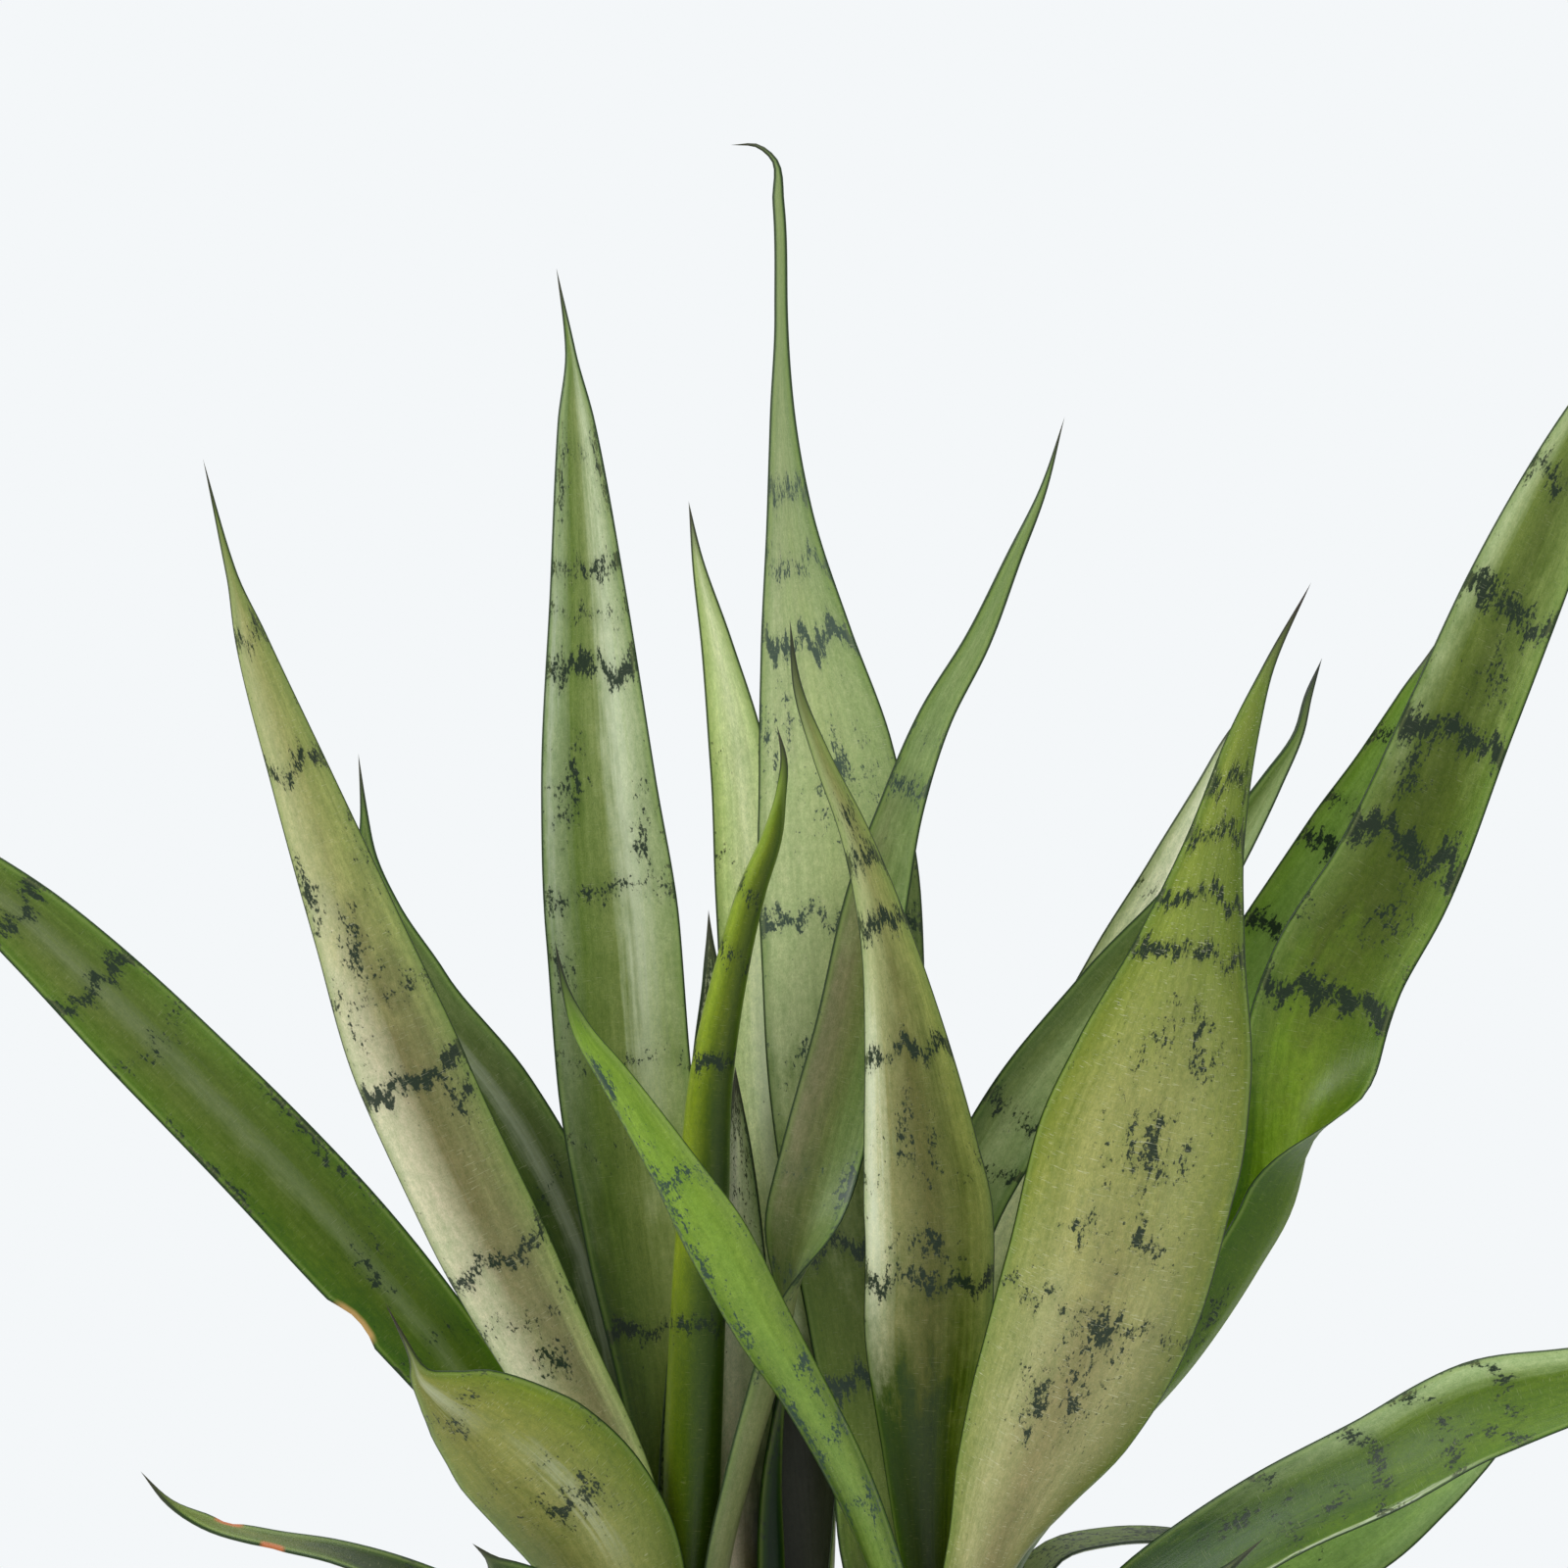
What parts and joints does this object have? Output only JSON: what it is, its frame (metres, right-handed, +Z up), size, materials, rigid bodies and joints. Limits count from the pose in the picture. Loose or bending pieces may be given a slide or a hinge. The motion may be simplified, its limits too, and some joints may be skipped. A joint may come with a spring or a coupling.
{
  "type": "potted snake plant",
  "caption": "Plain round pot of soil with a clump of stiff, sword-shaped leaves that rise from its middle, lean outwards and end in thin points.",
  "frame": {"origin": "centre of the pot's flat underside", "axes": "+Z up along the pot's axis, -Y towards the front, +X to the right as seen from the front"},
  "size_m": [0.697, 0.2197, 0.7267],
  "materials": {
    "pot": "matte",
    "soil": "rough",
    "leaf_green": "satin",
    "leaf_grey_green": "satin",
    "leaf_pale": "satin",
    "leaf_olive": "satin",
    "leaf_bright": "satin"
  },
  "bodies": {
    "root": {"pot": "pot", "soil": "soil", "leaf_far_left": "leaf_green", "leaf_left_pale": "leaf_pale", "leaf_left_back": "leaf_grey_green", "leaf_tall_left": "leaf_green", "leaf_curled_front": "leaf_olive", "leaf_low_front": "leaf_green", "leaf_low_left": "leaf_green", "leaf_olive_channel": "leaf_olive", "leaf_small_middle": "leaf_pale", "leaf_right_of_centre": "leaf_grey_green", "leaf_behind_channel": "leaf_pale", "leaf_inner_small": "leaf_green", "leaf_back_middle": "leaf_bright", "leaf_tallest": "leaf_grey_green", "leaf_front_centre": "leaf_pale", "leaf_front_right": "leaf_olive", "leaf_far_right": "leaf_green", "leaf_right_back": "leaf_bright", "leaf_right_slim": "leaf_grey_green", "leaf_right_pale": "leaf_pale", "leaf_front_diagonal": "leaf_bright", "leaf_arching": "leaf_green", "leaf_under_arching": "leaf_bright", "leaf_low_back": "leaf_grey_green", "leaf_low_right_tip": "leaf_green"}
  },
  "joints": []
}
